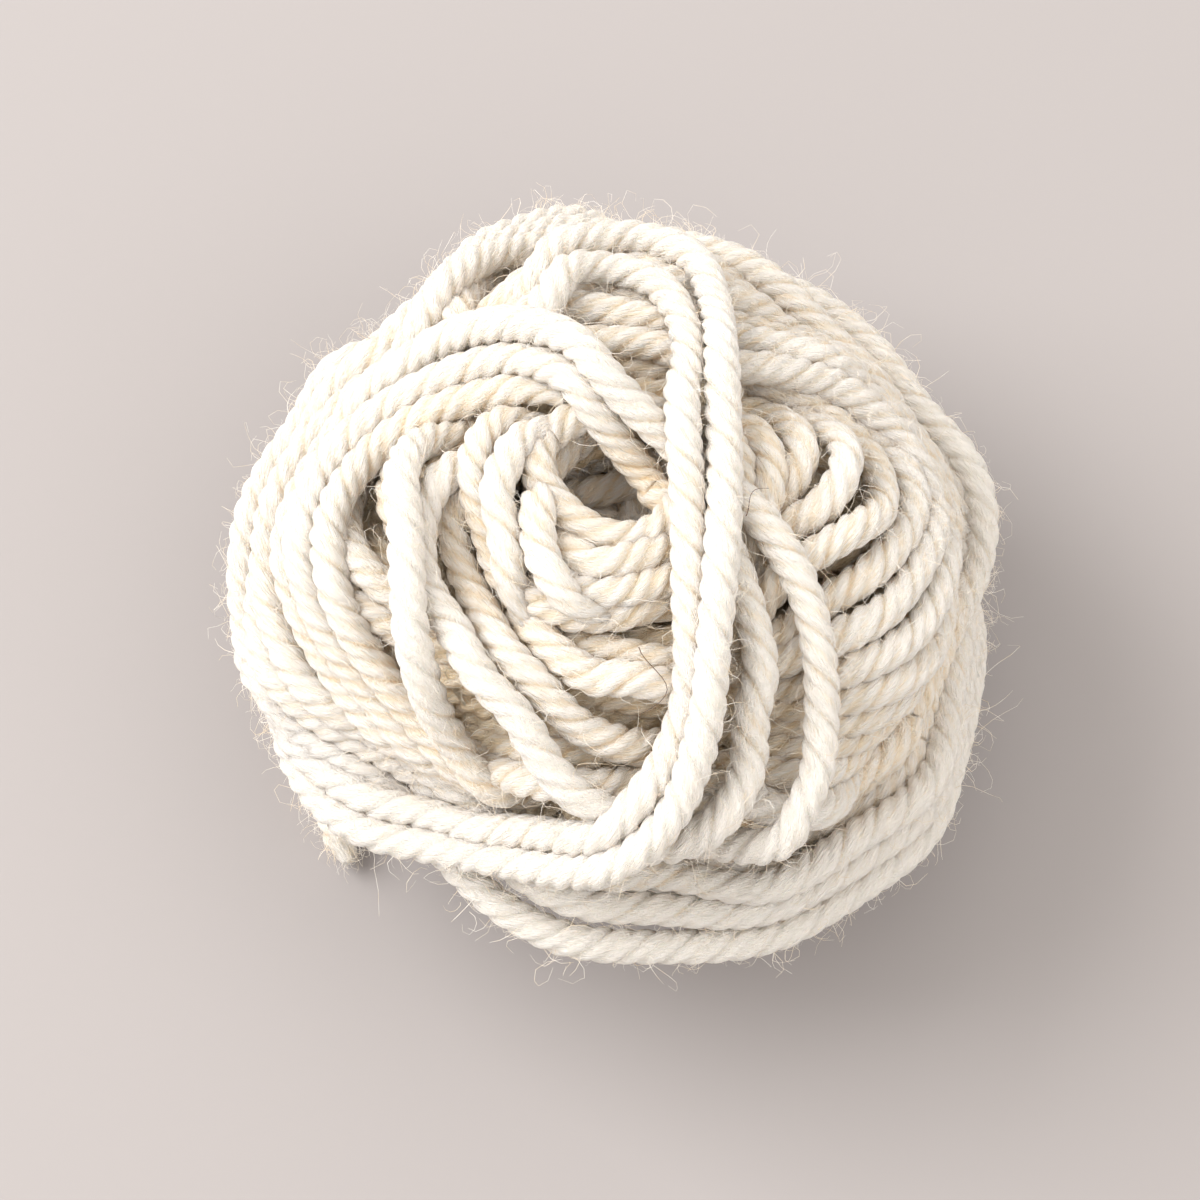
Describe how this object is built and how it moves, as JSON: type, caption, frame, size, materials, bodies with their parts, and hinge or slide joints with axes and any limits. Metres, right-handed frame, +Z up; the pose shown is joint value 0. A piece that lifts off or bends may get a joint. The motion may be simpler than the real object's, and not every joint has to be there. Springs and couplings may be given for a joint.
{
  "type": "ball of yarn",
  "caption": "Hand-wound ball of thick cream wool yarn with a hollow at the top, resting on a small flat spot, with its loose end on the table.",
  "frame": {"origin": "on the table under the middle of the ball, at its small flat spot", "axes": "+Z up through the hollow, +X to the right of the side shown, +Y to its back"},
  "size_m": [0.0854, 0.0856, 0.0614],
  "materials": {
    "wool": "matt fuzzy plied wool, undyed cream",
    "wool_end": "matt fuzzy plied wool, undyed cream"
  },
  "bodies": {
    "root": {"yarn_ball": "wool", "loose_end": "wool_end"}
  },
  "joints": []
}
